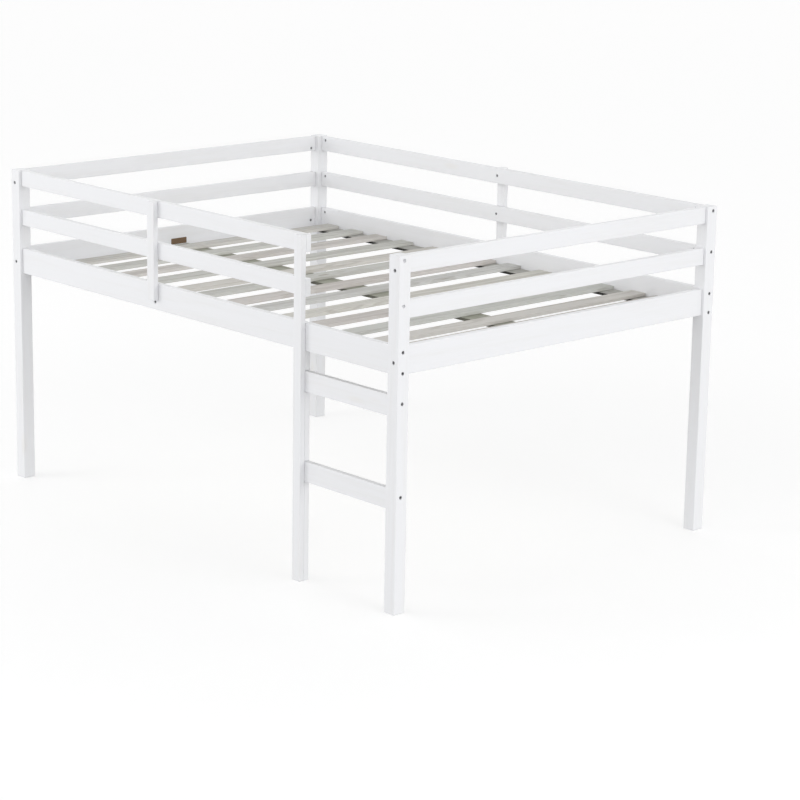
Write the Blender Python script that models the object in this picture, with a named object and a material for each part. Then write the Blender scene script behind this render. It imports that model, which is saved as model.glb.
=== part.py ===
"""Low loft bed with guard rails on four sides and a two-rung ladder built into its front.

Metres, +Z up. X runs along the bed, with the ladder at the +X end; -Y is the front.
The origin is on the floor under the middle of the four corner posts.
"""
import bmesh
import bpy
from mathutils import Matrix, Vector

# Overall frame
LENGTH = 2.000
WIDTH = 1.417
POST = 0.046
DECK_HEIGHT = 0.7445        # floor to the underside of the side rails

# Boards
RAIL_THICK = 0.020
RAIL_SETBACK = 0.010        # outer face of a rail behind the outer face of a post
SIDE_RAIL_TALL = 0.089
GUARD_RAIL_TALL = 0.0555
GUARD_GAP = 0.08175         # clear way under each guard rail
TOP_RAIL_DROP = 0.001       # top guard rail below the post tops
UPRIGHT_WIDE = 0.036
UPRIGHT_THICK = 0.019
UPRIGHT_LAP = 0.0545        # how far a guard upright reaches down over the side rail

# Ladder
ENTRY_WIDE = 0.386          # clear way between the ladder upright and the corner post
RUNG_TALL = 0.066
RUNG_DROP = 0.064           # clear way between the upper rung and the side rail
RUNG_PITCH = 0.2895

# Deck
DECK_RISE = 0.020           # underside of the slats above the underside of the side rails
LEDGER_TALL = 0.010
LEDGER_WIDE = 0.074
LEDGER_CLEAR = 0.001        # end of a ledger short of the cross dowels at the rail ends
BEAM_WIDE = 0.090
BEAM_TALL = 0.011
SLAT_COUNT = 14
SLAT_WIDE = 0.065
SLAT_THICK = 0.011
SLAT_END_GAP = 0.001
# How far each slat sits from its even place, as a share of the pitch
SLAT_DRIFT = (0.28, 0.27, 0.21, 0.24, 0.43, 0.225, 0.32, 0.205, 0.305, 0.325, 0.375, 0.41, 0.205, 0)

# Bolts, cross dowels and screws
SHANK_DIA = 0.006
HEAD_DIA = 0.0105
HEAD_TALL = 0.004
SOCKET_DIA = 0.005
SOCKET_DEEP = 0.0025
BOLT_REACH = 0.030          # bolt end inside the end of a rail
HEAD_SINK = 0.006           # depth of the recess for a bolt head
DOWEL_DIA = 0.010
DOWEL_INSET = 0.022         # cross dowel from the end of its rail
DOWEL_DEEP = 0.015
SCREW_DIA = 0.004
SCREW_HEAD_DIA = 0.009
SCREW_SINK = 0.003
SCREW_BITE = 0.012          # screw inside the upright
BORE_ROOM = 0.0006          # bore wider than what it holds
RECESS_ROOM = 0.0015        # recess wider than the head in it
GUARD_BOLT_RISE = 0.0135    # bolts along X above a guard rail's centre
GUARD_BOLT_DROP = 0.0172    # bolts along Y below the centre of a top guard rail
UPPER_BOLT_EDGE = 0.017     # side rail bolts from the top and bottom edges of the rail
LOWER_BOLT_EDGE = 0.008
RUNG_BOLT_RISE = 0.0117
STOP_BOLT_DROP = 0.008      # bolt in the side rail, below the end of the front upright
STOP_BOLT_DEEP = 0.015
PEG_DIA = 0.008             # wooden pegs that hold the middle guard rails of the ends
PEG_REACH = 0.018           # of a peg into the post, and into the rail
PEG_DROP = 0.010            # peg below its rail's centre

GAP = 0.0003                # between pieces that touch
OVERCUT = 0.001
ROUND_SIDES = 10
POST_EDGE = 0.0025
BOARD_EDGE = 0.0018
SLAT_EDGE = 0.001
SMOOTH_ANGLE = 0.7

# Places that follow from the sizes above
POST_IN_X = LENGTH / 2 - POST
POST_IN_Y = WIDTH / 2 - POST
RAIL_OUT_X = LENGTH / 2 - RAIL_SETBACK
RAIL_OUT_Y = WIDTH / 2 - RAIL_SETBACK
RAIL_IN_X = RAIL_OUT_X - RAIL_THICK
RAIL_IN_Y = RAIL_OUT_Y - RAIL_THICK
RAIL_MID_X = RAIL_OUT_X - RAIL_THICK / 2
RAIL_MID_Y = RAIL_OUT_Y - RAIL_THICK / 2
SIDE_RAIL_TOP = DECK_HEIGHT + SIDE_RAIL_TALL
MID_RAIL_LOW = SIDE_RAIL_TOP + GUARD_GAP
TOP_RAIL_LOW = MID_RAIL_LOW + GUARD_RAIL_TALL + GUARD_GAP
GUARD_LEVELS = {"top": TOP_RAIL_LOW, "mid": MID_RAIL_LOW}
UPRIGHT_LOW = SIDE_RAIL_TOP - UPRIGHT_LAP
UPRIGHT_TOP = TOP_RAIL_LOW + GUARD_RAIL_TALL
HEIGHT = UPRIGHT_TOP + TOP_RAIL_DROP
UPPER_RUNG = DECK_HEIGHT - RUNG_DROP - RUNG_TALL / 2
RUNG_CENTRES = {"lower": UPPER_RUNG - RUNG_PITCH, "upper": UPPER_RUNG}
LADDER_RIGHT = POST_IN_X - ENTRY_WIDE
LADDER_LEFT = LADDER_RIGHT - UPRIGHT_WIDE
FRONT_UPRIGHT_X = (LADDER_RIGHT - POST_IN_X) / 2
SLAT_LOW = DECK_HEIGHT + DECK_RISE
LEDGER_END = POST_IN_X - DOWEL_INSET - DOWEL_DIA / 2 - LEDGER_CLEAR

END_NAMES = {-1: "left", 1: "right"}
SIDE_NAMES = {-1: "front", 1: "back"}

bores = {}
dowel_bores = {}


def clear_scene():
    for item in list(bpy.data.objects):
        bpy.data.objects.remove(item, do_unlink=True)


def finish(name, colour, roughness, metallic=0.0):
    material = bpy.data.materials.new(name)
    material.use_nodes = True
    shader = material.node_tree.nodes["Principled BSDF"]
    shader.inputs["Base Color"].default_value = (*colour, 1.0)
    shader.inputs["Roughness"].default_value = roughness
    shader.inputs["Metallic"].default_value = metallic
    return material


def add_object(name, mesh, place=(0, 0, 0)):
    item = bpy.data.objects.new(name, mesh)
    item.location = place
    bpy.context.collection.objects.link(item)
    return item


def board(name, low, high, material, edge=BOARD_EDGE, steps=2):
    """A squared board between two corners, with eased edges."""
    low = Vector(low)
    high = Vector(high)
    shape = bmesh.new()
    bmesh.ops.create_cube(shape, size=1.0)
    bmesh.ops.scale(shape, vec=high - low, verts=shape.verts)
    mesh = bpy.data.meshes.new(name)
    shape.to_mesh(mesh)
    shape.free()
    mesh.materials.append(material)
    item = add_object(name, mesh, (low + high) / 2)
    easing = item.modifiers.new("eased_edges", "BEVEL")
    easing.width = edge
    easing.segments = steps
    return item


def turned(shape, rings, start, direction):
    """A turned solid: (radius, distance) rings from start along direction, closed at both ends."""
    turn = Vector((0, 0, 1)).rotation_difference(Vector(direction)).to_matrix().to_4x4()
    place = Matrix.Translation(start) @ turn
    loops = []
    for radius, distance in rings:
        centre = place @ Matrix.Translation((0, 0, distance))
        circle = bmesh.ops.create_circle(shape, segments=ROUND_SIDES, radius=radius, matrix=centre)
        loops.append(circle["verts"])
    for first, second in zip(loops, loops[1:]):
        for i in range(ROUND_SIDES):
            j = (i + 1) % ROUND_SIDES
            shape.faces.new((first[i], first[j], second[j], second[i]))
    shape.faces.new(loops[0])
    shape.faces.new(loops[-1])


def turned_mesh(name, turnings):
    """One mesh from several turned solids."""
    shape = bmesh.new()
    for rings, start, direction in turnings:
        turned(shape, rings, start, direction)
    bmesh.ops.recalc_face_normals(shape, faces=shape.faces)
    mesh = bpy.data.meshes.new(name)
    shape.to_mesh(mesh)
    shape.free()
    return mesh


def bore(piece, rings, start, direction, table=bores):
    table.setdefault(piece, []).append((rings, start, direction))


def cut_bores():
    """Cuts each piece's bores with one hidden cutter, then its cross-dowel holes with another."""
    for label, table in (("bores", bores), ("dowel_bores", dowel_bores)):
        for piece, turnings in table.items():
            cutter = add_object(f"cut_{label}_{piece}", turned_mesh(label, turnings))
            cutter.hide_render = True
            cutter.display_type = "WIRE"
            cut = bpy.data.objects[piece].modifiers.new(label, "BOOLEAN")
            cut.operation = "DIFFERENCE"
            cut.solver = "EXACT"
            cut.object = cutter


def make_posts(paint):
    for end in (-1, 1):
        for side in (-1, 1):
            low = [min(end * LENGTH / 2, end * POST_IN_X), min(side * WIDTH / 2, side * POST_IN_Y), 0]
            high = [low[0] + POST, low[1] + POST, HEIGHT]
            board(f"post_{SIDE_NAMES[side]}_{END_NAMES[end]}", low, high, paint, POST_EDGE)


def long_rail(name, side, low_z, tall, left, right, paint):
    """A board that runs along X in the front or back rail plane."""
    near, far = sorted((side * RAIL_IN_Y, side * RAIL_OUT_Y))
    board(name, (left, near, low_z), (right, far, low_z + tall), paint)


def end_rail(name, end, low_z, tall, paint):
    """A board that runs along Y between the two posts of one end."""
    near, far = sorted((end * RAIL_IN_X, end * RAIL_OUT_X))
    reach = POST_IN_Y - GAP
    board(name, (near, -reach, low_z), (far, reach, low_z + tall), paint)


def make_rails(paint):
    reach = POST_IN_X - GAP
    for side in (-1, 1):
        long_rail(f"side_rail_{SIDE_NAMES[side]}", side, DECK_HEIGHT, SIDE_RAIL_TALL, -reach, reach, paint)
    for end in (-1, 1):
        end_rail(f"side_rail_{END_NAMES[end]}", end, DECK_HEIGHT, SIDE_RAIL_TALL, paint)
    for level, low_z in GUARD_LEVELS.items():
        long_rail(f"{level}_guard_front", -1, low_z, GUARD_RAIL_TALL, -reach, LADDER_RIGHT, paint)
        long_rail(f"{level}_guard_back", 1, low_z, GUARD_RAIL_TALL, -reach, reach, paint)
        for end in (-1, 1):
            end_rail(f"{level}_guard_{END_NAMES[end]}", end, low_z, GUARD_RAIL_TALL, paint)


def upright(name, side, centre_x, low_z, paint):
    """A slim upright on the outer faces of the rails."""
    near, far = sorted((side * (RAIL_OUT_Y + GAP), side * (RAIL_OUT_Y + UPRIGHT_THICK)))
    left = centre_x - UPRIGHT_WIDE / 2
    board(name, (left, near, low_z), (left + UPRIGHT_WIDE, far, UPRIGHT_TOP), paint)


def make_ladder(paint):
    """The ladder's upright, its two rungs, and the packers that carry them down to the floor."""
    upright("ladder_upright", -1, (LADDER_LEFT + LADDER_RIGHT) / 2, 0, paint)
    below = 0
    for label, centre in RUNG_CENTRES.items():
        rung_low = centre - RUNG_TALL / 2
        packer(f"ladder_packer_{label}", below, rung_low - GAP, paint)
        long_rail(f"ladder_rung_{label}", -1, rung_low, RUNG_TALL, LADDER_LEFT, POST_IN_X - GAP, paint)
        below = rung_low + RUNG_TALL + GAP
    packer("ladder_packer_top", below, DECK_HEIGHT - GAP, paint)


def packer(name, low_z, high_z, paint):
    long_rail(name, -1, low_z, high_z - low_z, LADDER_LEFT, LADDER_RIGHT, paint)


def make_deck(bare_wood):
    """Ledgers on the side rails, the centre beam, and the slats across them."""
    top = SLAT_LOW - GAP
    for side in (-1, 1):
        near, far = sorted((side * (RAIL_IN_Y - GAP), side * (RAIL_IN_Y - LEDGER_WIDE)))
        low = (-LEDGER_END, near, top - LEDGER_TALL)
        high = (LEDGER_END, far, top)
        board(f"slat_ledger_{SIDE_NAMES[side]}", low, high, bare_wood, SLAT_EDGE, 1)
    beam_reach = RAIL_IN_X - GAP
    low = (-beam_reach, -BEAM_WIDE / 2, top - BEAM_TALL)
    high = (beam_reach, BEAM_WIDE / 2, top)
    board("centre_beam", low, high, bare_wood, SLAT_EDGE, 1)
    slat_reach = RAIL_IN_Y - SLAT_END_GAP
    first = -POST_IN_X + 2 * GAP
    pitch = (2 * abs(first) - SLAT_WIDE) / (SLAT_COUNT - 1)
    for i in range(SLAT_COUNT):
        left = first + pitch * (i + SLAT_DRIFT[i])
        high = (left + SLAT_WIDE, slat_reach, SLAT_LOW + SLAT_THICK)
        board(f"slat_{i + 1:02d}", (left, -slat_reach, SLAT_LOW), high, bare_wood, SLAT_EDGE, 1)


def bolt_bore(piece, start, direction, depth):
    """A bore for a bolt's shank, with a recess for its head."""
    recess = (HEAD_DIA + RECESS_ROOM) / 2
    shank = (SHANK_DIA + BORE_ROOM) / 2
    rings = [(recess, -OVERCUT), (recess, HEAD_SINK), (shank, HEAD_SINK), (shank, depth)]
    bore(piece, rings, start, direction)


def add_bolt(name, start, direction, reach, steel):
    """A socket-head bolt sunk in the recess at start, which ends at reach from there."""
    rings = [(SOCKET_DIA / 2, SOCKET_DEEP), (SOCKET_DIA / 2, 0), (HEAD_DIA / 2, 0),
             (HEAD_DIA / 2, HEAD_TALL), (SHANK_DIA / 2, HEAD_TALL),
             (SHANK_DIA / 2, reach - HEAD_SINK + HEAD_TALL)]
    top = Vector(start) + Vector(direction) * (HEAD_SINK - HEAD_TALL - GAP)
    mesh = turned_mesh(name, [(rings, top, direction)])
    mesh.materials.append(steel)
    mesh.shade_smooth()
    mesh.set_sharp_from_angle(angle=SMOOTH_ANGLE)
    add_object(name, mesh)


def end_bolt(post, rail, start, direction, bolt=None, steel=None):
    """Bores a post and the end of a rail for a bolt and its cross dowel, and adds a named bolt."""
    start = Vector(start)
    direction = Vector(direction)
    bolt_bore(post, start, direction, POST + OVERCUT)
    if rail:
        shank = (SHANK_DIA + BORE_ROOM) / 2
        rail_end = start + direction * POST
        bore(rail, [(shank, -OVERCUT), (shank, BOLT_REACH + OVERCUT)], rail_end, direction)
        dowel_bore(rail, rail_end + direction * DOWEL_INSET, direction)
    if bolt:
        add_bolt(bolt, start, direction, POST + BOLT_REACH, steel)


def dowel_bore(rail, point, along):
    """A blind hole for a cross dowel, drilled from the face of the rail that looks into the bed."""
    inner = Vector(point)
    if abs(along.x) > 0.5:
        outward = Vector((0, 1 if point.y > 0 else -1, 0))
        inner.y = outward.y * RAIL_IN_Y
    else:
        outward = Vector((1 if point.x > 0 else -1, 0, 0))
        inner.x = outward.x * RAIL_IN_X
    radius = (DOWEL_DIA + BORE_ROOM) / 2
    bore(rail, [(radius, -OVERCUT), (radius, DOWEL_DEEP)], inner, outward, dowel_bores)


def bolt_frame(steel):
    """Bolts the rails to the posts: those along X pass above those along Y."""
    upper_z = SIDE_RAIL_TOP - UPPER_BOLT_EDGE
    lower_z = DECK_HEIGHT + LOWER_BOLT_EDGE
    for end in (-1, 1):
        for side in (-1, 1):
            post = f"post_{SIDE_NAMES[side]}_{END_NAMES[end]}"
            corner = f"{SIDE_NAMES[side]}_{END_NAMES[end]}"
            along_x = (end * LENGTH / 2, side * RAIL_MID_Y)
            along_y = (end * RAIL_MID_X, side * WIDTH / 2)
            for label, z in (("upper", upper_z), ("lower", lower_z)):
                end_bolt(post, f"side_rail_{SIDE_NAMES[side]}", (*along_x, z),
                         (-end, 0, 0), f"bolt_{corner}_{label}", steel)
            end_bolt(post, f"side_rail_{END_NAMES[end]}", (*along_y, (upper_z + lower_z) / 2),
                     (0, -side, 0), f"bolt_{corner}_cross", steel)
            for level, low_z in GUARD_LEVELS.items():
                centre = low_z + GUARD_RAIL_TALL / 2
                reaches_post = side > 0 or end < 0
                rail = f"{level}_guard_{SIDE_NAMES[side]}" if reaches_post else None
                end_bolt(post, rail, (*along_x, centre + GUARD_BOLT_RISE), (-end, 0, 0))
            cross_z = TOP_RAIL_LOW + GUARD_RAIL_TALL / 2 - GUARD_BOLT_DROP
            end_bolt(post, f"top_guard_{END_NAMES[end]}", (*along_y, cross_z), (0, -side, 0))
    for label, centre in RUNG_CENTRES.items():
        start = (LENGTH / 2, -RAIL_MID_Y, centre + RUNG_BOLT_RISE)
        end_bolt("post_front_right", f"ladder_rung_{label}", start, (-1, 0, 0), f"bolt_rung_{label}", steel)


def peg_middle_rails(bare_wood):
    """Hidden pegs between the corner posts and the middle guard rails of the ends."""
    radius = PEG_DIA / 2
    rings = [(radius + BORE_ROOM / 2, -OVERCUT), (radius + BORE_ROOM / 2, PEG_REACH)]
    z = MID_RAIL_LOW + GUARD_RAIL_TALL / 2 - PEG_DROP
    for end in (-1, 1):
        for side in (-1, 1):
            corner = f"{SIDE_NAMES[side]}_{END_NAMES[end]}"
            joint = Vector((end * RAIL_MID_X, side * POST_IN_Y, z))
            into_post = Vector((0, side, 0))
            bore(f"post_{corner}", rings, joint, into_post)
            bore(f"mid_guard_{END_NAMES[end]}", rings, joint, -into_post)
            reach = PEG_REACH - GAP
            mesh = turned_mesh(f"peg_{corner}", [([(radius, -reach), (radius, reach)], joint, into_post)])
            mesh.materials.append(bare_wood)
            mesh.shade_smooth()
            mesh.set_sharp_from_angle(angle=SMOOTH_ANGLE)
            add_object(f"peg_{corner}", mesh)


def screw_bore(rail, stud, x, side, z):
    """A countersunk screw hole through a rail from inside the bed, and its pilot in the upright."""
    outward = (0, side, 0)
    head = (SCREW_HEAD_DIA + RECESS_ROOM) / 2
    shank = (SCREW_DIA + BORE_ROOM) / 2
    start = (x, side * RAIL_IN_Y, z)
    rings = [(head, -OVERCUT), (head, SCREW_SINK), (shank, SCREW_SINK), (shank, RAIL_THICK + OVERCUT)]
    bore(rail, rings, start, outward)
    bore(stud, [(shank, -OVERCUT), (shank, SCREW_BITE)], (x, side * RAIL_OUT_Y, z), outward)


def screw_uprights():
    ladder_x = (LADDER_LEFT + LADDER_RIGHT) / 2
    for level, low_z in GUARD_LEVELS.items():
        centre = low_z + GUARD_RAIL_TALL / 2
        screw_bore(f"{level}_guard_front", "guard_upright_front", FRONT_UPRIGHT_X, -1, centre)
        screw_bore(f"{level}_guard_front", "ladder_upright", ladder_x, -1, centre)
        screw_bore(f"{level}_guard_back", "guard_upright_back", 0, 1, centre)
    lap_centre = UPRIGHT_LOW + UPRIGHT_LAP / 2
    screw_bore("side_rail_front", "guard_upright_front", FRONT_UPRIGHT_X, -1, lap_centre)
    screw_bore("side_rail_front", "ladder_upright", ladder_x, -1, lap_centre)
    screw_bore("side_rail_back", "guard_upright_back", 0, 1, lap_centre)
    for label, centre in RUNG_CENTRES.items():
        screw_bore(f"ladder_rung_{label}", "ladder_upright", ladder_x, -1, centre)


def stop_bolt(steel):
    """The bolt in the outer face of the front side rail, just under the end of its upright."""
    start = (FRONT_UPRIGHT_X, -RAIL_OUT_Y, UPRIGHT_LOW - STOP_BOLT_DROP)
    bolt_bore("side_rail_front", start, (0, 1, 0), STOP_BOLT_DEEP)
    add_bolt("bolt_under_front_upright", start, (0, 1, 0), STOP_BOLT_DEEP - GAP, steel)


def main():
    clear_scene()
    white_paint = finish("white_paint", (0.86, 0.86, 0.87), 0.35)
    bare_wood = finish("bare_wood", (0.62, 0.60, 0.56), 0.75)
    steel = finish("dark_steel", (0.05, 0.05, 0.05), 0.4, 0.8)
    make_posts(white_paint)
    make_rails(white_paint)
    upright("guard_upright_front", -1, FRONT_UPRIGHT_X, UPRIGHT_LOW, white_paint)
    upright("guard_upright_back", 1, 0, UPRIGHT_LOW, white_paint)
    make_ladder(white_paint)
    make_deck(bare_wood)
    bolt_frame(steel)
    peg_middle_rails(bare_wood)
    screw_uprights()
    stop_bolt(steel)
    cut_bores()


main()
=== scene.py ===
import math

import bmesh
import bpy
from mathutils import Euler, Matrix, Vector


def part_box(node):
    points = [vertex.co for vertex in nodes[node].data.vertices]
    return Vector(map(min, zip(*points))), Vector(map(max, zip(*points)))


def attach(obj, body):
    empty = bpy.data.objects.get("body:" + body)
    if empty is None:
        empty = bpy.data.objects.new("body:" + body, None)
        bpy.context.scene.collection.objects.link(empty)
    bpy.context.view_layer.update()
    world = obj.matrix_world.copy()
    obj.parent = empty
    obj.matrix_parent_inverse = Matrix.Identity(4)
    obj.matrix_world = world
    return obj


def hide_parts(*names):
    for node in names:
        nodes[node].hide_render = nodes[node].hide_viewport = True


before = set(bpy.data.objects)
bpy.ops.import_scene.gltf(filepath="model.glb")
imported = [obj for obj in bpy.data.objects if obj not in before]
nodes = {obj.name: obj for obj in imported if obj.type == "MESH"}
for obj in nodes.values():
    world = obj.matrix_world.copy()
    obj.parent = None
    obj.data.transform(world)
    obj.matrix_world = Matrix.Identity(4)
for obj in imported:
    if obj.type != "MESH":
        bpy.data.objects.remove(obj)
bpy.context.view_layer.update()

axisNames = "XYZ"


# camera, floor and light

cameraSettings = dict(
    place=(6.4414, -5.7295, 2.5519),
    turn=47.24,         # degrees left of +Y
    tilt=14.22,         # degrees below level
    roll=0.985,
    lens=115.9,
)


def placeCamera(s):
    data = bpy.data.cameras.new("camera")
    data.lens = s["lens"]
    data.clip_end = 200
    camera = bpy.data.objects.new("camera", data)
    bpy.context.collection.objects.link(camera)
    aim = Euler((math.radians(90 - s["tilt"]), 0, math.radians(s["turn"]))).to_matrix().to_4x4()
    roll = Matrix.Rotation(math.radians(s["roll"]), 4, "Z")
    camera.matrix_world = Matrix.Translation(s["place"]) @ aim @ roll
    bpy.context.scene.camera = camera


lightSettings = dict(
    aim=(0, 0, 0.6),
    # name, place, size, watts
    softboxes=(
        ("keyRight", (6.5, 0.0, 1.5), 2.6, 70),
        ("fillFront", (-3.6, -5.2, 1.6), 2.5, 64),
    ),
    # height (0 straight down, 0.5 level, 1 straight up) and brightness of the surroundings
    sky=((0.0, 0.44), (0.47, 0.66), (0.54, 1.10), (0.62, 1.72), (0.74, 1.72), (0.86, 0.50), (1.0, 0.10)),
    floorSize=80,
    floorColour=(0.86, 0.86, 0.86),
    floorGlow=0.24,
)


def lightStudio(s):
    for name, place, size, watts in s["softboxes"]:
        data = bpy.data.lights.new(name, "AREA")
        data.shape = "SQUARE"
        data.size = size
        data.energy = watts
        lamp = bpy.data.objects.new(name, data)
        bpy.context.collection.objects.link(lamp)
        lamp.location = place
        away = Vector(place) - Vector(s["aim"])
        lamp.rotation_euler = away.to_track_quat("Z", "Y").to_euler()
    world = bpy.data.worlds.new("studio")
    world.use_nodes = True
    bpy.context.scene.world = world
    tree = world.node_tree
    where = tree.nodes.new("ShaderNodeTexCoord")
    split = tree.nodes.new("ShaderNodeSeparateXYZ")
    height = tree.nodes.new("ShaderNodeMapRange")
    height.inputs["From Min"].default_value = -1
    ramp = tree.nodes.new("ShaderNodeValToRGB")
    while len(ramp.color_ramp.elements) < len(s["sky"]):
        ramp.color_ramp.elements.new(0.5)
    for element, (position, bright) in zip(ramp.color_ramp.elements, s["sky"]):
        element.position = position
        element.color = (bright, bright, bright, 1)
    tree.links.new(where.outputs["Generated"], split.inputs[0])
    tree.links.new(split.outputs["Z"], height.inputs["Value"])
    tree.links.new(height.outputs[0], ramp.inputs[0])
    tree.links.new(ramp.outputs[0], tree.nodes["Background"].inputs["Color"])
    bpy.context.scene.view_settings.view_transform = "Standard"


def layFloor(s):
    deselectAll()
    bpy.ops.mesh.primitive_plane_add(size=s["floorSize"], location=(0, 0, 0))
    floor = bpy.context.object
    floor.name = "studioFloor"
    paint = Graph("studioFloor")
    paint.set("Base Color", (*s["floorColour"], 1))
    paint.set("Roughness", 0.9)
    paint.set("Emission Color", (1, 1, 1, 1))
    paint.set("Emission Strength", s["floorGlow"])
    floor.data.materials.append(paint.material)
    floor.visible_diffuse = False


# shader wiring

class Wire:
    # one socket, which takes part in sums
    def __init__(self, graph, socket):
        self.graph = graph
        self.socket = socket

    def maths(self, operation, first, second):
        return self.graph.add("ShaderNodeMath", {"operation": operation}, {0: first, 1: second})

    def __add__(self, other):
        return self.maths("ADD", self, other)

    def __radd__(self, other):
        return self.maths("ADD", other, self)

    def __sub__(self, other):
        return self.maths("SUBTRACT", self, other)

    def __rsub__(self, other):
        return self.maths("SUBTRACT", other, self)

    def __mul__(self, other):
        return self.maths("MULTIPLY", self, other)

    def __rmul__(self, other):
        return self.maths("MULTIPLY", other, self)

    def sine(self):
        return self.graph.add("ShaderNodeMath", {"operation": "SINE"}, {0: self})

    # 0 below low, 1 above high, with a soft step between
    def step(self, low, high):
        return self.graph.add("ShaderNodeMapRange", {"interpolation_type": "SMOOTHSTEP"},
                              {"Value": self, "From Min": low, "From Max": high})


class Graph:
    # a material, its Principled shader, and one way to add any node
    def __init__(self, name):
        self.material = bpy.data.materials.new(name)
        self.material.use_nodes = True
        self.tree = self.material.node_tree
        self.shader = self.tree.nodes["Principled BSDF"]

    def add(self, kind, settings=None, sockets=None, out=0):
        node = self.tree.nodes.new(kind)
        for key, value in (settings or {}).items():
            setattr(node, key, value)
        for key, value in (sockets or {}).items():
            self.feed(node.inputs[key], value)
        return Wire(self, node.outputs[out])

    def feed(self, socket, value):
        if isinstance(value, Wire):
            self.tree.links.new(value.socket, socket)
        else:
            socket.default_value = value

    def set(self, name, value):
        self.feed(self.shader.inputs[name], value)

    # object coordinates, shifted and stretched
    def where(self, scale=(1, 1, 1), shift=(0, 0, 0)):
        spot = self.add("ShaderNodeTexCoord", out="Object")
        return self.add("ShaderNodeMapping", None, {"Vector": spot, "Scale": scale, "Location": shift})

    def noise(self, where, scale=1.0, detail=3.0, rough=0.5, distortion=0.0):
        return self.add("ShaderNodeTexNoise", None, {"Vector": where, "Scale": scale, "Detail": detail,
                                                     "Roughness": rough, "Distortion": distortion})

    def mix(self, share, first, second):
        return self.add("ShaderNodeMix", {"data_type": "RGBA"}, {0: share, 6: first, 7: second}, out=2)

    def bump(self, height, distance, strength):
        sockets = {"Height": height, "Distance": distance, "Strength": strength}
        self.set("Normal", self.add("ShaderNodeBump", None, sockets))


def stretched(grain, along, across):
    # texture scales with the grain along X, Y or Z
    scale = [across, across, across]
    scale[axisNames.index(grain)] = along
    return tuple(scale)


# finishes

paintSettings = dict(
    colour=(0.812, 0.818, 0.838),
    thin=(0.757, 0.755, 0.752),      # where the paint has sunk into the grain
    ghost=(0.74, 0.70, 0.63),       # a knot that shows faintly through
    roughness=0.36,
)


def whitePaint(name, grain, s=paintSettings):
    paint = Graph(name)
    broad = paint.noise(paint.where(stretched(grain, 2.2, 38)), detail=4, rough=0.6)
    fine = paint.noise(paint.where(stretched(grain, 14, 620)), detail=3, rough=0.6)
    peel = paint.noise(paint.where(), scale=420, detail=2)
    cloud = paint.noise(paint.where(), scale=3.5, detail=2)
    knots = paint.add("ShaderNodeTexVoronoi", {"feature": "F1"},
                      {"Vector": paint.where(stretched(grain, 2.1, 7.5), (0.37, 0.21, 0.53)), "Scale": 1.0})
    knot = 1 - knots.step(0.03, 0.12)
    sunk = (broad * 0.65 + fine * 0.35).step(0.42, 0.72)
    colour = paint.mix(sunk * 0.5 + cloud * 0.12, (*s["colour"], 1), (*s["thin"], 1))
    colour = paint.mix(knot * 0.22, colour, (*s["ghost"], 1))
    paint.set("Base Color", colour)
    paint.set("Roughness", s["roughness"] + sunk * 0.10 + peel * 0.06)
    paint.set("Specular IOR Level", 0.42)
    paint.bump(fine * 0.5 + broad * 0.3 + peel * 0.5 + knot * 0.4, 0.00022, 0.55)
    return paint.material


woodSettings = dict(
    light=(0.690, 0.685, 0.660),
    dark=(0.535, 0.520, 0.490),
    knot=(0.300, 0.245, 0.190),
    stain=(0.600, 0.590, 0.570),
    # the boards under the slats are tinted darker as painted shade from the slats above (the beam's tint
    # also holds its own olive tone), and their sides get painted shade
    ledgerShadeTint=(0.74, 0.74, 0.72),
    ledgerSideShade=0.06,
    beamToneAndShadeTint=(0.60, 0.615, 0.53),
    beamSideShade=0.45,
)


def bareWood(name, grain, tint=(1, 1, 1), shift=0.0, shadedSides=1.0, s=woodSettings):
    wood = Graph(name)
    light, dark, knotColour, stain = ((*(c * t for c, t in zip(s[key], tint)), 1)
                                      for key in ("light", "dark", "knot", "stain"))
    away = (shift * 1.7, shift * 2.3, shift * 3.1)
    warp = wood.noise(wood.where(stretched(grain, 1.3, 9), away), detail=2)
    knots = wood.add("ShaderNodeTexVoronoi", {"feature": "F1"},
                     {"Vector": wood.where(stretched(grain, 1.9, 9), away), "Scale": 1.0})
    swirl = 1 - knots.step(0.0, 0.32)
    knot = 1 - knots.step(0.035, 0.075)
    rings = (wood.noise(wood.where(stretched(grain, 0.5, 22), away), detail=1, distortion=0.2) * 30
             + warp * 16 + swirl * 9).sine() * 0.5 + 0.5
    late = rings.step(0.45, 0.98)
    pores = wood.noise(wood.where(stretched(grain, 30, 1500), away), detail=3, rough=0.65)
    blotch = wood.noise(wood.where(stretched(grain, 1.6, 7), away), detail=3)
    colour = wood.mix(late * 0.55 + pores * 0.35, light, dark)
    colour = wood.mix(blotch.step(0.45, 0.75) * 0.35, colour, stain)
    colour = wood.mix(knot * 0.8, colour, knotColour)
    if shadedSides < 1:
        # painted shade on the vertical sides, darker than the top and underside, standing in for the shade
        # under the slats
        normal = wood.add("ShaderNodeNewGeometry", out="Normal")
        facing = wood.add("ShaderNodeSeparateXYZ", None, {0: normal}, out="Z")
        paintedSideShade = (*(c * shadedSides for c in dark[:3]), 1)
        colour = wood.mix((facing * facing).step(0.1, 0.6), paintedSideShade, colour)
    wood.set("Base Color", colour)
    wood.set("Roughness", 0.62 + late * 0.12 + pores * 0.12)
    wood.set("Specular IOR Level", 0.3)
    wood.bump(late * 0.5 + pores * 0.6 - knot * 0.3, 0.0004, 0.6)
    return wood.material


steelSettings = dict(
    blackened=(0.20, 0.20, 0.21),
    worn=(0.36, 0.36, 0.37),
    zincBright=(0.52, 0.53, 0.54),
    zincDull=(0.36, 0.36, 0.35),
)


def blackSteel(name, s=steelSettings):
    steel = Graph(name)
    rubbed = steel.noise(steel.where(), scale=900, detail=4, rough=0.6)
    worn = rubbed.step(0.52, 0.75)
    steel.set("Base Color", steel.mix(worn * 0.6, (*s["blackened"], 1), (*s["worn"], 1)))
    steel.set("Roughness", 0.36 + rubbed * 0.22)
    steel.set("Metallic", 0.85)
    steel.bump(rubbed, 0.00004, 0.5)
    return steel.material


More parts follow.
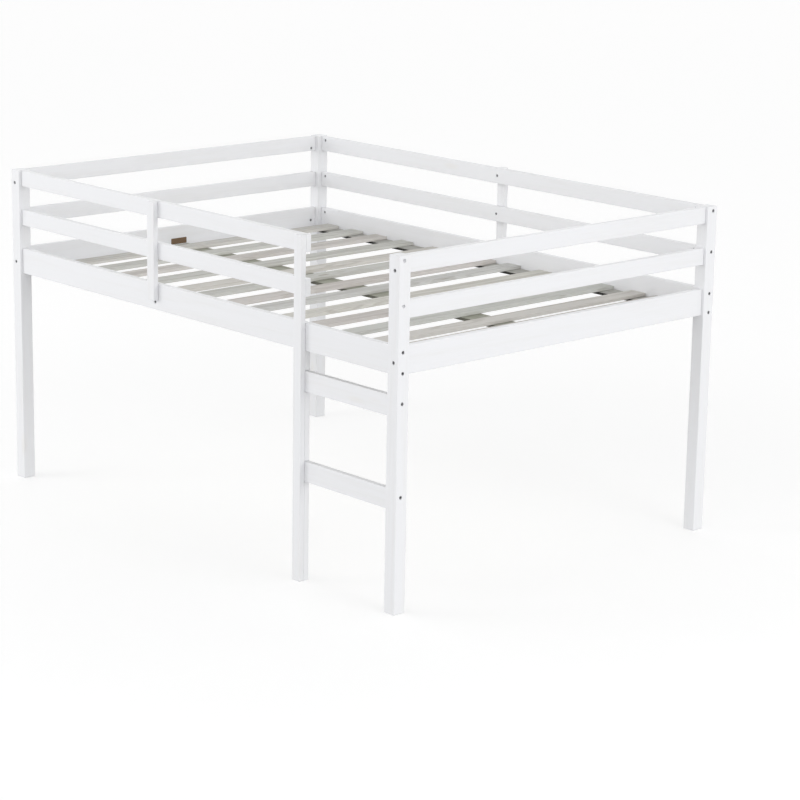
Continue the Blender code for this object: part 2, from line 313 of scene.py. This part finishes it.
def zincSteel(name, tone=1.0, s=steelSettings):
    zinc = Graph(name)
    bright, dull = ((*(c * tone for c in s[key]), 1) for key in ("zincBright", "zincDull"))
    spangle = zinc.add("ShaderNodeTexVoronoi", {"feature": "F1"},
                       {"Vector": zinc.where(), "Scale": 1400.0})
    haze = zinc.noise(zinc.where(), scale=500, detail=4)
    zinc.set("Base Color", zinc.mix(haze.step(0.4, 0.7), bright, dull))
    zinc.set("Roughness", 0.30 + spangle * 0.16 + haze * 0.12)
    zinc.set("Metallic", 1.0)
    zinc.bump(haze, 0.00003, 0.4)
    return zinc.material


kraftSettings = dict(
    light=(0.21, 0.13, 0.07),
    dark=(0.11, 0.07, 0.04),
)


def kraftPaper(name, s=kraftSettings):
    kraft = Graph(name)
    fibres = kraft.noise(kraft.where((180, 900, 900)), detail=4, rough=0.7)
    cloud = kraft.noise(kraft.where(), scale=60, detail=3)
    kraft.set("Base Color", kraft.mix(fibres * 0.6 + cloud * 0.3, (*s["light"], 1), (*s["dark"], 1)))
    kraft.set("Roughness", 0.62 + fibres * 0.2)
    kraft.bump(fibres, 0.00008, 0.5)
    return kraft.material


# modelling helpers

def deselectAll():
    if bpy.context.object and bpy.context.object.mode != "OBJECT":
        bpy.ops.object.mode_set(mode="OBJECT")
    bpy.ops.object.select_all(action="DESELECT")


def editPiece(piece):
    deselectAll()
    piece.select_set(True)
    bpy.context.view_layer.objects.active = piece
    bpy.ops.object.mode_set(mode="EDIT")
    bpy.context.tool_settings.mesh_select_mode = (False, True, False)
    bpy.ops.mesh.select_all(action="DESELECT")


def selectEdges(piece, test):
    mesh = bmesh.from_edit_mesh(piece.data)
    for edge in mesh.edges:
        edge.select_set(test(edge))
    bmesh.update_edit_mesh(piece.data)


def growRim(radius, towards, down=0.0):
    # carries the selected loop down by a step and out or in to another radius
    bpy.ops.mesh.extrude_region_move(TRANSFORM_OT_translate={"value": (0, 0, down)})
    factor = towards / radius
    bpy.ops.transform.resize(value=(factor, factor, 1), center_override=(0, 0, 0))
    return towards


def finishMesh(piece, angle=30):
    bpy.ops.object.mode_set(mode="EDIT")
    bpy.ops.mesh.select_all(action="SELECT")
    bpy.ops.mesh.remove_doubles(threshold=0.00001)
    bpy.ops.mesh.normals_make_consistent(inside=False)
    bpy.ops.object.mode_set(mode="OBJECT")
    bpy.ops.object.shade_smooth_by_angle(angle=math.radians(angle))
    return piece


def cutAway(piece, cutter):
    cut = piece.modifiers.new("cut", "BOOLEAN")
    cut.operation = "DIFFERENCE"
    cut.solver = "EXACT"
    cut.object = cutter
    deselectAll()
    piece.select_set(True)
    bpy.context.view_layer.objects.active = piece
    bpy.ops.object.modifier_apply(modifier=cut.name)
    bpy.data.objects.remove(cutter, do_unlink=True)


def block(name, centre, size):
    deselectAll()
    bpy.ops.mesh.primitive_cube_add(size=1, location=centre, scale=size)
    bpy.ops.object.transform_apply(location=True, rotation=True, scale=True)
    piece = bpy.context.object
    piece.name = name
    return piece


def copyTo(model, name, place, direction, spin=0.0):
    # a copy with its own mesh, turned so that its +Z runs along direction
    piece = model.copy()
    piece.data = model.data.copy()
    piece.name = name
    piece.data.name = name
    bpy.context.collection.objects.link(piece)
    turn = Vector((0, 0, 1)).rotation_difference(Vector(direction)).to_matrix().to_4x4()
    piece.matrix_world = Matrix.Translation(place) @ turn @ Matrix.Rotation(spin, 4, "Z")
    deselectAll()
    piece.select_set(True)
    bpy.context.view_layer.objects.active = piece
    bpy.ops.object.transform_apply(location=True, rotation=True, scale=True)
    return piece


def settle(piece, material):
    piece.data.materials.clear()
    piece.data.materials.append(material)
    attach(piece, "root")


# bolts and cross dowels: each model points along +Z, with the top of its head at 0

boltSettings = dict(
    sides=40,
    headRadius=0.00525,
    headHeight=0.004,
    headEdge=0.0006,
    shankRadius=0.003,
    hexRadius=0.0026,
    socketDepth=0.0024,
    tip=0.001,
    sink=0.0017,            # top of the head below the face of the post
    reach=0.076,            # end of the bolt from the face of the post
    guardRise=0.0135,       # guard rail bolts along X above the middle of the rail
    guardDrop=0.0172,       # bolts along Y below it
)


def modelBolt(name, length, s=boltSettings):
    deselectAll()
    rim = s["headRadius"] - s["headEdge"]
    bpy.ops.mesh.primitive_circle_add(vertices=s["sides"], radius=rim, fill_type="NOTHING")
    bolt = bpy.context.object
    bolt.name = name
    editPiece(bolt)
    bpy.ops.mesh.select_all(action="SELECT")
    # rounded shoulder, side, underside, shank and tip
    for i in range(1, 4):
        turn = math.radians(30 * i)
        out = s["headRadius"] - s["headEdge"] * (1 - math.sin(turn))
        drop = s["headEdge"] * (math.cos(turn - math.radians(30)) - math.cos(turn))
        rim = growRim(rim, out, drop)
    rim = growRim(rim, rim, s["headHeight"] - s["headEdge"])
    rim = growRim(rim, s["shankRadius"])
    rim = growRim(rim, rim, length - s["headHeight"] - s["tip"])
    growRim(rim, s["shankRadius"] - s["tip"] * 0.8, s["tip"])
    bpy.ops.mesh.edge_face_add()
    # six-sided socket, joined to the shoulder across the top of the head
    bpy.ops.mesh.select_all(action="DESELECT")
    bpy.ops.mesh.primitive_circle_add(vertices=6, radius=s["hexRadius"], fill_type="NOTHING")
    bpy.ops.mesh.extrude_region_move(TRANSFORM_OT_translate={"value": (0, 0, s["socketDepth"])})
    bpy.ops.mesh.edge_face_add()
    selectEdges(bolt, lambda edge: all(abs(v.co.z) < 1e-6 for v in edge.verts))
    bpy.ops.mesh.bridge_edge_loops()
    return finishMesh(bolt)


dowelSettings = dict(
    sides=36,
    radius=0.0049,
    length=0.0138,
    edge=0.0007,
    slotWide=0.0016,
    slotDeep=0.0016,
    boreRadius=0.0031,
    boreDepth=0.0092,       # bolt's bore from the face of the dowel
    sink=0.0008,            # dowel's face below the face of its rail
    fromEnd=0.022,          # dowel from the end of its rail
)


def modelDowel(s=dowelSettings):
    deselectAll()
    bpy.ops.mesh.primitive_cylinder_add(vertices=s["sides"], radius=s["radius"], depth=s["length"],
                                        location=(0, 0, s["length"] / 2))
    bpy.ops.object.transform_apply(location=True, rotation=True, scale=True)
    dowel = bpy.context.object
    editPiece(dowel)
    selectEdges(dowel, lambda edge: abs(edge.verts[0].co.z - edge.verts[1].co.z) < 1e-6)
    bpy.ops.mesh.bevel(offset=s["edge"], segments=2, affect="EDGES")
    bpy.ops.object.mode_set(mode="OBJECT")
    slot = block("slotCutter", (0, 0, 0), (s["radius"] * 3, s["slotWide"], s["slotDeep"] * 2))
    cutAway(dowel, slot)
    deselectAll()
    bpy.ops.mesh.primitive_cylinder_add(vertices=24, radius=s["boreRadius"], depth=s["radius"] * 3,
                                        location=(0, 0, s["boreDepth"]), rotation=(math.pi / 2, 0, 0))
    cutAway(dowel, bpy.context.object)
    return finishMesh(dowel)


def boltLine(node):
    # where a CAD bolt's head starts, its direction and its length
    low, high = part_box(node)
    size = high - low
    axis = max(range(3), key=lambda i: size[i])
    start = (low + high) / 2
    outward = 1 if start[axis] > 0 else -1
    start[axis] = high[axis] if outward > 0 else low[axis]
    direction = Vector((0, 0, 0))
    direction[axis] = -outward
    return start, direction, size[axis]


def guardBoltLines(s=boltSettings):
    # a bolt through a corner post into each guard rail, but for the pegged middle rails of the ends
    lines = []
    for level in ("top", "mid"):
        for side, sideName in ((-1, "front"), (1, "back")):
            for end, endName in ((-1, "left"), (1, "right")):
                post = f"post_{sideName}_{endName}"
                postLow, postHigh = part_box(post)
                if not (sideName == "front" and endName == "right"):
                    rail = f"{level}_guard_{sideName}"
                    middle = sum(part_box(rail), Vector()) / 2
                    face = postHigh.x if end > 0 else postLow.x
                    start = Vector((face - end * s["sink"], middle.y, middle.z + s["guardRise"]))
                    name = f"guardBolt_{sideName}_{endName}_{level}"
                    lines.append((name, start, Vector((-end, 0, 0)), rail))
                if level == "top":
                    rail = f"top_guard_{endName}"
                    middle = sum(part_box(rail), Vector()) / 2
                    face = postHigh.y if side > 0 else postLow.y
                    start = Vector((middle.x, face - side * s["sink"], middle.z - s["guardDrop"]))
                    name = f"guardBolt_{sideName}_{endName}_cross"
                    lines.append((name, start, Vector((0, -side, 0)), rail))
    return lines


def sideRailOf(bolt):
    # bolt_front_left_upper holds side_rail_front, bolt_front_left_cross holds side_rail_left
    words = bolt.split("_")
    if words[1] == "rung":
        return f"ladder_rung_{words[2]}"
    return f"side_rail_{words[2] if words[3] == 'cross' else words[1]}"


def dowelPlace(rail, start, direction, s=dowelSettings):
    # on the face of the rail that looks into the bed, at the height of its bolt
    low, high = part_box(rail)
    along = 0 if abs(direction.x) > 0.5 else 1
    across = 1 - along
    place = start.copy()
    place[along] = (low[along] if direction[along] > 0 else high[along]) + direction[along] * s["fromEnd"]
    outward = 1 if low[across] > 0 else -1
    face = low[across] if outward > 0 else high[across]
    place[across] = face + outward * s["sink"]
    into = Vector((0, 0, 0))
    into[across] = outward
    return place, into


def fitBolts(steel, dullZinc):
    bolts = sorted(n for n in nodes if n.startswith("bolt_"))
    dowel = modelDowel()
    models = {}
    lines = []
    for node in bolts:
        start, direction, length = boltLine(node)
        if node == "bolt_under_front_upright":
            start, direction, length = stopBoltLine(node)
        key = round(length, 4)
        if key not in models:
            models[key] = modelBolt("boltModel", length)
        spin = math.radians(17 * (len(lines) % 5))
        piece = copyTo(models[key], node + "_steel", start, direction, spin)
        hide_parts(node)
        settle(piece, steel)
        if node != "bolt_under_front_upright":
            lines.append((node, start, direction, sideRailOf(node)))
    guard = modelBolt("boltModel", boltSettings["reach"] - boltSettings["sink"])
    for i, (name, start, direction, rail) in enumerate(guardBoltLines()):
        piece = copyTo(guard, name, start, direction, math.radians(23 * (i % 5)))
        settle(piece, steel)
        lines.append((name, start, direction, rail))
    for i, (name, start, direction, rail) in enumerate(lines):
        place, into = dowelPlace(rail, start, direction)
        spin = math.radians(90 if abs(direction.x) > 0.5 else 0)
        piece = copyTo(dowel, f"dowel_{name}", place, into, spin)
        settle(piece, dullZinc)
    for model in (dowel, guard, *models.values()):
        bpy.data.objects.remove(model, do_unlink=True)
    print("bolts", len(bolts) + len(guardBoltLines()), "cross dowels", len(lines))


def stopBoltLine(node):
    low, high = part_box(node)
    middle = (low + high) / 2
    return Vector((middle.x, low.y, middle.z)), Vector((0, 1, 0)), high.y - low.y


# screws

screwSettings = dict(
    sides=32,
    crossWide=0.0011,
    crossDeep=0.0018,
    rim=0.0003,             # straight part of the head
    threads=7,
    root=0.72,              # root of the thread and blunt tip, as shares of the shank
    tip=0.12,
    uprightHead=0.0044,
    uprightHeadHeight=0.0024,
    uprightShank=0.0019,
    uprightLength=0.030,
    uprightSink=0.0005,
    slatHead=0.0035,
    slatHeadHeight=0.0021,
    slatShank=0.0015,
    slatLength=0.020,
    slatSink=0.0003,
)


def modelScrew(kind, s=screwSettings):
    head, height, shank, length = (s[kind + part] for part in ("Head", "HeadHeight", "Shank", "Length"))
    deselectAll()
    bpy.ops.mesh.primitive_circle_add(vertices=s["sides"], radius=head, fill_type="NGON")
    screw = bpy.context.object
    editPiece(screw)
    selectEdges(screw, lambda edge: edge.is_boundary)
    rim = growRim(head, head, s["rim"])
    rim = growRim(rim, shank, height)
    pitch = (length - height) / (s["threads"] + 2)
    # the thread, as rings
    for i in range(s["threads"]):
        rim = growRim(rim, shank * s["root"], pitch * 0.35)
        rim = growRim(rim, shank, pitch * 0.5)
        rim = growRim(rim, shank, pitch * 0.15)
    growRim(rim, shank * s["tip"], pitch * 1.8)
    bpy.ops.mesh.edge_face_add()
    finishMesh(screw)
    arm = head * 1.15
    for size in ((s["crossWide"], arm), (arm, s["crossWide"])):
        cutAway(screw, block("crossCutter", (0, 0, 0), (*size, s["crossDeep"] * 2)))
    return finishMesh(screw)


def uprightScrewPlaces(s=screwSettings):
    # every rail is screwed to the upright on its outer face, from inside the bed
    places = []
    pairs = [("guard_upright_front", "front"), ("ladder_upright", "front"), ("guard_upright_back", "back")]
    for upright, side in pairs:
        low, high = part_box(upright)
        x = (low.x + high.x) / 2
        outward = -1 if side == "front" else 1
        rails = [f"top_guard_{side}", f"mid_guard_{side}", f"side_rail_{side}"]
        if upright == "ladder_upright":
            rails += ["ladder_rung_upper", "ladder_rung_lower"]
        for rail in rails:
            railLow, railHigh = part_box(rail)
            z = (railLow.z + railHigh.z) / 2
            if rail.startswith("side_rail"):
                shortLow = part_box("guard_upright_front")[0].z
                z = (shortLow + railHigh.z) / 2
            face = railHigh.y if outward < 0 else railLow.y
            places.append((f"screw_{upright}_{rail}", Vector((x, face + outward * s["uprightSink"], z)),
                           Vector((0, outward, 0))))
    return places


def fitScrews(steel):
    screw = modelScrew("upright")
    places = uprightScrewPlaces()
    for i, (name, place, direction) in enumerate(places):
        settle(copyTo(screw, name, place, direction, math.radians(31 * i % 90)), steel)
    bpy.data.objects.remove(screw, do_unlink=True)
    print("upright screws", len(places))


# slats

slatSettings = dict(
    longEdge=0.0015,
    endEdge=0.0008,
    screwInset=0.022,       # screws from the end of the slat
    screwSpread=0.036,
    sinkRoom=0.0002,
    sinkBelow=0.0008,       # countersink under the head, and its cutter above the slat
    cutterAbove=0.0003,
    # each board's own tint
    tints=(
        (1.00, 0.99, 0.97), (0.97, 0.98, 0.96), (1.04, 1.01, 1.00), (0.96, 0.97, 0.95), (1.05, 1.03, 1.00),
        (0.94, 0.95, 0.93), (1.02, 0.98, 0.97), (0.96, 0.97, 0.97), (1.04, 1.03, 0.99), (1.00, 0.96, 0.95),
        (0.94, 0.96, 0.94), (1.03, 1.01, 0.99), (0.97, 0.94, 0.93), (1.02, 1.03, 1.00),
    ),
)


def slatScrewSpots(low, high, s=slatSettings):
    middle = (low.x + high.x) / 2
    beamLow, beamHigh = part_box("centre_beam")
    rows = [low.y + s["screwInset"], (beamLow.y + beamHigh.y) / 2, high.y - s["screwInset"]]
    return [(middle + offset * s["screwSpread"] / 2, y) for y in rows for offset in (-1, 1)]


def modelSlat(node, s=slatSettings):
    low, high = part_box(node)
    slat = block(node + "_board", (low + high) / 2, high - low)
    editPiece(slat)
    selectEdges(slat, lambda edge: abs(edge.verts[0].co.y - edge.verts[1].co.y) > 0.5)
    bpy.ops.mesh.bevel(offset=s["longEdge"], segments=3, affect="EDGES")
    selectEdges(slat, lambda edge: all(abs(abs(v.co.y) - high.y) < 1e-5 for v in edge.verts))
    bpy.ops.mesh.bevel(offset=s["endEdge"], segments=1, affect="EDGES")
    bpy.ops.object.mode_set(mode="OBJECT")
    sink = screwSettings["slatHead"] + s["sinkRoom"]
    depth = screwSettings["slatHeadHeight"] + s["sinkRoom"] + s["sinkBelow"]
    above = s["cutterAbove"]
    deselectAll()
    cones = []
    for x, y in slatScrewSpots(low, high):
        place = (x, y, high.z + above - depth / 2)
        bpy.ops.mesh.primitive_cone_add(vertices=24, radius1=screwSettings["slatShank"],
                                        radius2=sink + above, depth=depth, location=place)
        cones.append(bpy.context.object)
    deselectAll()
    for cone in cones:
        cone.select_set(True)
    bpy.context.view_layer.objects.active = cones[0]
    bpy.ops.object.join()
    bpy.ops.object.transform_apply(location=True, rotation=True, scale=True)
    cutAway(slat, cones[0])
    return finishMesh(slat)


def laySlats(zinc):
    screw = modelScrew("slat")
    slats = sorted(n for n in nodes if n.startswith("slat_") and n[5:].isdigit())
    for i, node in enumerate(slats):
        slat = modelSlat(node)
        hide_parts(node)
        settle(slat, bareWood(f"washedSlat{i + 1}", "Y", slatSettings["tints"][i], i + 1))
        low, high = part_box(node)
        for k, (x, y) in enumerate(slatScrewSpots(low, high)):
            place = (x, y, high.z - screwSettings["slatSink"])
            spin = math.radians(37 * (k + i) % 90)
            piece = copyTo(screw, f"{node}_screw_{k + 1}", place, (0, 0, -1), spin)
            settle(piece, zinc)
    bpy.data.objects.remove(screw, do_unlink=True)
    print("slats", len(slats))


# blank sticker on the inside of the left end

stickerSettings = dict(
    low=(-0.034, 0.7665),   # y and z of its corners
    high=(0.037, 0.7885),
    corner=0.0025,
    thickness=0.00018,
    proud=0.0001,
)


def stickLabel(s=stickerSettings):
    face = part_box("side_rail_left")[1].x
    centre = (face + s["proud"], (s["low"][0] + s["high"][0]) / 2, (s["low"][1] + s["high"][1]) / 2)
    deselectAll()
    bpy.ops.mesh.primitive_plane_add(size=1, location=centre, rotation=(0, math.pi / 2, 0))
    label = bpy.context.object
    label.name = "blankSticker"
    label.scale = (s["high"][1] - s["low"][1], s["high"][0] - s["low"][0], 1)
    bpy.ops.object.transform_apply(location=True, rotation=True, scale=True)
    editPiece(label)
    bpy.ops.mesh.select_all(action="SELECT")
    bpy.ops.mesh.bevel(offset=s["corner"], segments=5, affect="VERTICES")
    bpy.ops.mesh.select_all(action="SELECT")
    bpy.ops.mesh.extrude_region_move(TRANSFORM_OT_translate={"value": (s["thickness"], 0, 0)})
    finishMesh(label)
    settle(label, kraftPaper("kraftPaper"))
    print("sticker on")


# paint and assemble

def finishFrame():
    s = woodSettings
    paints = {axis: whitePaint(f"whitePaint{axis}", axis) for axis in axisNames}
    pegWood = bareWood("barePegs", "Y")
    for name, node in sorted(nodes.items()):
        if name.startswith("bolt_") or name[5:].isdigit():
            continue
        low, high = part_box(name)
        size = high - low
        axis = axisNames[max(range(3), key=lambda i: size[i])]
        material = paints[axis]
        if name.startswith("ladder_packer"):
            material = paints["Z"]
        # ledgers and beam get painted shade: a darker tint and darkened sides
        if name.startswith("slat_ledger"):
            material = bareWood(f"bare_{name}", "X", s["ledgerShadeTint"], len(name), s["ledgerSideShade"])
        if name == "centre_beam":
            material = bareWood("bareBeam", "X", s["beamToneAndShadeTint"], 5, s["beamSideShade"])
        if name.startswith("peg_"):
            material = pegWood
        node.data.materials.clear()
        node.data.materials.append(material)


placeCamera(cameraSettings)
lightStudio(lightSettings)
layFloor(lightSettings)
print("studio ready")
finishFrame()
print("frame painted")
blackened = blackSteel("blackSteel")
zincPlated = zincSteel("zincSteel")
fitBolts(blackened, zincSteel("dullZinc", 0.65))
fitScrews(blackened)
laySlats(zincPlated)
stickLabel()
deselectAll()
